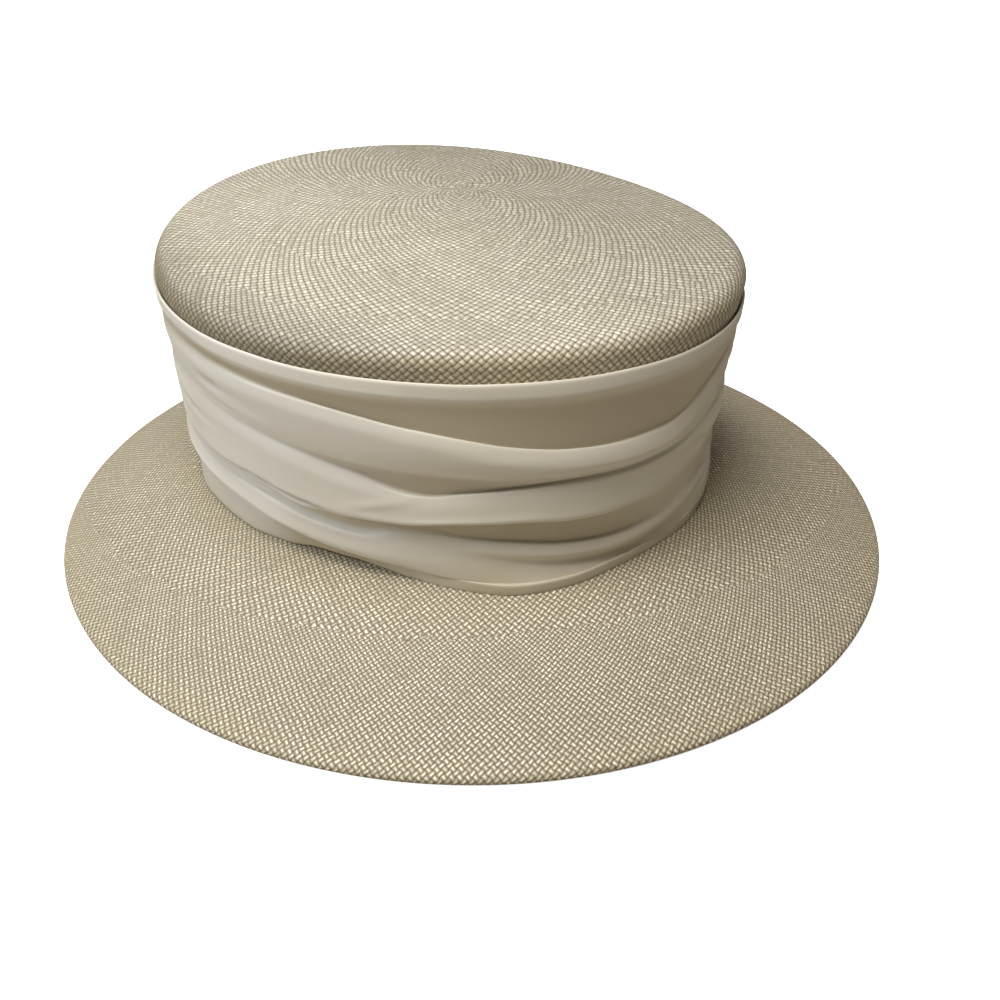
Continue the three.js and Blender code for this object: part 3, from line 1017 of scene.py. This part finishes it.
class BoaterSettings(bpy.types.PropertyGroup):
    """Sizes and finishes of the hat"""

    brim_span: FloatProperty(
        name="Brim Length", description="Length of the brim, front to back",
        default=brim_high.y - brim_low.y, unit="LENGTH", subtype="DISTANCE",
    )
    steps_round: IntProperty(
        name="Steps Round", description="How many steps each straw ring has", default=288, min=48,
    )
    tip_pitch: fine_size(
        "Crown Strand Pitch", "Distance between neighbouring strands on the crown", 0.00195,
    )
    brim_pitch: fine_size(
        "Brim Strand Pitch", "Distance between neighbouring strands on the brim", 0.0015,
    )
    relief: fine_size("Straw Relief", "How deep the weave is", 0.0005)
    # These straw colours show only on the crest of each float, as its painted highlight.
    crown_colour: tint("Crown Straw", "Colour of a clean strand of the crown", (0.97, 0.94, 0.84))
    brim_colour: tint("Brim Straw", "Colour of a clean strand of the brim", (0.97, 0.91, 0.77))
    weathered_colour: tint("Weathered Straw", "Colour of greyed strands", (0.90, 0.86, 0.74))
    # The two colours below are painted shade: what a strand shows away from its crest and where it passes
    # under.
    crown_painted_shade_colour: tint(
        "Crown Straw In Painted Shade", "Colour of a crown strand where it passes under", (0.42, 0.37, 0.275),
    )
    brim_painted_shade_colour: tint(
        "Brim Straw In Painted Shade", "Colour of a brim strand where it passes under", (0.31, 0.26, 0.17),
    )
    # Colour of the painted shade deep between the strands.
    gap_shade_colour: tint("Painted Gap Shade", "Colour between the strands", (0.10, 0.08, 0.05))
    # Used for real staining, and on the crown also as the tone of the painted shade above the band.
    stain_and_shade_colour: tint("Stain And Shade", "Warm stain by the band and the rim", (0.86, 0.72, 0.46))
    satin_colour: tint("Satin", "Colour of the satin", (0.80, 0.765, 0.705))
    # Used for aged patches and for the painted shade away from the wearer's right.
    aged_and_shaded_colour: tint("Aged And Shaded Satin", "Colour of aged patches of satin", (0.68, 0.61, 0.475))
    fold_colour: tint("Fold Shade", "Colour deep in the folds", (0.45, 0.36, 0.21))
    satin_thickness: fine_size("Satin Thickness", "Thickness of the satin", 0.0005)
    lens: FloatProperty(
        name="Lens", description="Focal length of the camera", default=48.6, unit="CAMERA",
    )
    top_power: FloatProperty(
        name="Top Light", description="Power of the light overhead", default=19.5, unit="POWER",
    )
    top_tint: tint("Top Tint", "Colour of the light overhead", (1.0, 0.96, 0.89))
    window_power: FloatProperty(
        name="Window Light", description="Power of the light from the side", default=8.6, unit="POWER",
    )
    window_tint: tint("Window Tint", "Colour of the light from the side", (0.86, 0.94, 1.0))
    room_light: FloatProperty(
        name="Room Light", description="Brightness of the room", default=0.07,
    )


def shared_group(name, maker):
    return bpy.data.node_groups.get(name) or maker()


def straw_groups():
    return (
        shared_group("Round Weave", round_weave_group),
        shared_group("Plain Weave", plain_weave_group),
        shared_group("Oval Distance", oval_distance_group),
    )


class MakeCrown(bpy.types.Operator):
    """Makes the straw crown"""

    bl_idname = "boater.crown"
    bl_label = "Straw Crown"

    def execute(self, context):
        look = context.scene.boater
        crown = spun_shell("woven_crown", crown_rows(), look.steps_round, place_crown_row, False)
        part = {
            "weave": dict(
                axis_x=crown_x * MM, axis_y=crown_y * MM, edge_foot=0.1003, edge_radius=0.0055,
                stretch=0.78, **weave_pole, pitch=look.tip_pitch, lean=0.0, wander=0.5,
            ),
            "stain_and_shade": crown_stain_and_shade,
            "painted_shade": crown_painted_shade,
            "straw": (*look.crown_colour, 1),
            "under": (*look.crown_painted_shade_colour, 1),
            "shine": 0.42,
            # First and Second set how bright the painted highlight is on each strand family; the last
            # value dims it where stained or shaded.
            "first": 1.0,
            "second": 0.9,
            "patchy": 0.16,
            "highlight_cut": 0.12,
        }
        crown.data.materials.append(straw_material("Crown straw", *straw_groups(), part, look))
        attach(crown, "root")
        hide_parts("straw_crown")
        return {"FINISHED"}


class MakeBrim(bpy.types.Operator):
    """Makes the straw brim with its turned edge"""

    bl_idname = "boater.brim"
    bl_label = "Straw Brim"

    def execute(self, context):
        look = context.scene.boater
        brim = spun_shell("woven_brim", brim_rows(), look.steps_round, place_brim_row, True)
        part = {
            "weave": dict(
                axis_x=0.0, axis_y=0.0, edge_foot=0.0014, edge_radius=0.0011,
                stretch=1.0, **weave_pole, pitch=look.brim_pitch, lean=0.14, wander=0.75,
            ),
            "stain_and_shade": brim_stain,
            "painted_shade": brim_painted_shade,
            "straw": (*look.brim_colour, 1),
            "under": (*look.brim_painted_shade_colour, 1),
            "shine": 0.3,
            # First and Second set how bright the painted highlight is on each strand family; the last
            # value dims it where stained or shaded.
            "first": 1.0,
            "second": 1.0,
            "patchy": 0.35,
            "highlight_cut": 0.0,
        }
        brim.data.materials.append(straw_material("Brim straw", *straw_groups(), part, look))
        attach(brim, "root")
        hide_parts("straw_brim")
        return {"FINISHED"}


class MakeBand(bpy.types.Operator):
    """Makes the satin band, draped in its folds"""

    bl_idname = "boater.band"
    bl_label = "Satin Band"

    def execute(self, context):
        look = context.scene.boater
        band, drop = satin_ring("draped_satin", steps=266, rows=164)
        wall = band.modifiers.new("Thickness", "SOLIDIFY")
        wall.thickness = look.satin_thickness
        wall.offset = 0
        wall.use_even_offset = False
        band.data.materials.append(satin_material("Ivory satin", look))
        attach(band, "root")
        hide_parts("satin_band")
        return {"FINISHED"}


class MakeStage(bpy.types.Operator):
    """Makes the camera, the lights and the pale floor"""

    bl_idname = "boater.stage"
    bl_label = "Stage"

    def execute(self, context):
        look = context.scene.boater
        scene = context.scene
        camera = bpy.data.objects.new("Camera", bpy.data.cameras.new("Camera"))
        scene.collection.objects.link(camera)
        camera.location = (-0.29872, -0.31400, 0.27181)
        towards = Vector((0.60129, 0.60129, -0.52621))
        camera.rotation_euler = towards.to_track_quat("-Z", "Y").to_euler()
        camera.data.lens = look.lens
        camera.data.sensor_width = 36
        camera.data.clip_start = 0.01
        scene.camera = camera
        mesh = bmesh.new()
        bmesh.ops.create_grid(mesh, x_segments=12, y_segments=12, size=6)
        floor = finished("floor", mesh)
        floor.data.materials.append(floor_material())
        self.lamp("Top light", (-0.32, -0.08, 1.4), look.top_power, 0.7, look.top_tint)
        self.lamp("Window light", (-1.1, 0.5, 0.8), look.window_power, 0.8, look.window_tint)
        world = scene.world or bpy.data.worlds.new("Room")
        scene.world = world
        world.use_nodes = True
        background = world.node_tree.nodes["Background"]
        background.inputs["Color"].default_value = (1.0, 0.93, 0.82, 1.0)
        background.inputs["Strength"].default_value = look.room_light
        scene.view_settings.view_transform = "Standard"
        scene.view_settings.look = "None"
        return {"FINISHED"}

    def lamp(self, name, place, power, size, tint):
        light = bpy.data.lights.new(name, "AREA")
        light.energy = power
        light.size = size
        light.color = tint
        lamp = bpy.data.objects.new(name, light)
        lamp.location = place
        lamp.rotation_euler = (Vector((0, 0, 0.05)) - Vector(place)).to_track_quat("-Z", "Y").to_euler()
        bpy.context.scene.collection.objects.link(lamp)


class BoaterPanel(bpy.types.Panel):
    """Lists the pieces of the hat"""

    bl_idname = "VIEW3D_PT_boater"
    bl_label = "Boater Hat"
    bl_space_type = "VIEW_3D"
    bl_region_type = "UI"
    bl_category = "Boater"

    def draw(self, context):
        look = context.scene.boater
        for name in BoaterSettings.__annotations__:
            self.layout.prop(look, name)
        for piece in PIECES:
            self.layout.operator(piece.bl_idname)


PIECES = (MakeCrown, MakeBrim, MakeBand, MakeStage)
CLASSES = (BoaterSettings, *PIECES, BoaterPanel)


def register():
    for kind in CLASSES:
        bpy.utils.register_class(kind)
    bpy.types.Scene.boater = PointerProperty(type=BoaterSettings)


def unregister():
    del bpy.types.Scene.boater
    for kind in reversed(CLASSES):
        bpy.utils.unregister_class(kind)


def main():
    register()
    bpy.ops.boater.crown()
    bpy.ops.boater.brim()
    bpy.ops.boater.band()
    bpy.ops.boater.stage()


if __name__ == "__main__":
    main()
